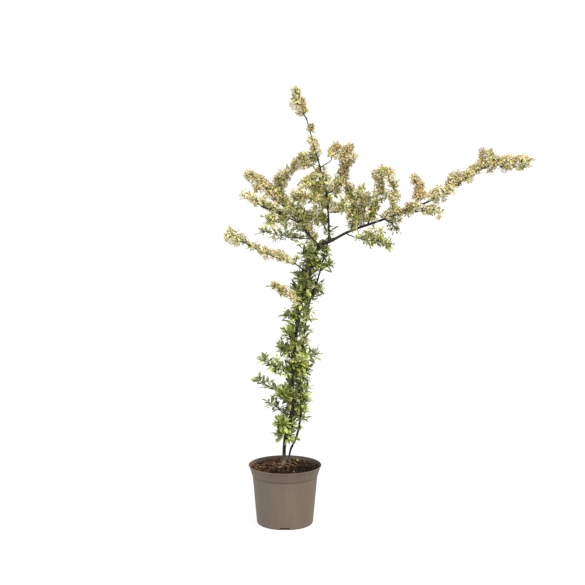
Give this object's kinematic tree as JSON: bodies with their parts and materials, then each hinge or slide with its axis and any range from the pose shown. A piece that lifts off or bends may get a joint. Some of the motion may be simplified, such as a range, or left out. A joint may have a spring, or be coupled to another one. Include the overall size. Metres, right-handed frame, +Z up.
{
  "type": "potted firethorn shrub",
  "caption": "Firethorn shrub in flower in a round nursery pot, with two slim stems, a leader, one long side bough and sprays of creamy blossom and small green leaves.",
  "frame": {"origin": "the middle of the pot's flat underside, on the surface that it stands on", "axes": "+Z up the plant, +X towards the long side bough, -Y towards the picture's viewer"},
  "size_m": [0.7774, 0.3698, 1.1399],
  "materials": {
    "pot": "moulded, matte taupe",
    "compost": "moist shredded bark, rough",
    "bark": "dark young bark, finely ridged",
    "leaf": "small leathery leaves, satin above",
    "blossom": "dense heads of small creamy flowers and buds, matte"
  },
  "bodies": {
    "root": {"pot": "pot", "compost": "compost", "main_stem": "bark", "second_stem": "bark", "right_bough": "bark", "leader": "bark", "upright_twig": "bark", "arch_twig": "bark", "left_upper": "bark", "left_lower": "bark", "left_low": "bark", "top_spike": "blossom", "leader_posy": "blossom", "leader_cluster": "blossom", "head_left": "blossom", "head_right": "blossom", "mid_right": "leaf", "side_shoot": "leaf", "inner_upper": "leaf", "inner_middle": "leaf", "inner_lower": "leaf", "arch_spray": "blossom", "left_upright": "blossom", "left_upper_spray": "blossom", "left_lower_spray": "blossom", "left_leafy": "leaf", "left_thin_shoot": "leaf", "left_low_spray": "blossom", "left_short_spray": "blossom", "bough_blossom": "blossom", "bough_underside": "blossom", "bough_upright": "blossom", "bough_outer": "blossom", "bough_far": "blossom", "bough_tip": "blossom", "left_leg": "leaf", "right_leg": "leaf", "leg_leafy": "leaf", "bough_foot": "leaf", "drooping_spur": "leaf", "hanging_shoot": "leaf", "rear_spray": "leaf", "rear_low_spray": "leaf", "hub_tuft": "leaf", "stem_right_upper": "leaf", "stem_right_middle": "leaf", "stem_left_upper": "leaf", "stem_left_middle": "leaf", "stem_left_lower": "leaf", "stem_left_foot": "leaf", "leaf_tuft": "leaf", "left_shoot_upper": "leaf", "left_shoot_lower": "leaf", "bright_tuft": "leaf", "thorn_shoot": "leaf", "middle_tuft": "leaf", "right_tuft": "leaf", "zigzag_shoot": "leaf", "basal_tuft": "leaf"}
  },
  "joints": []
}
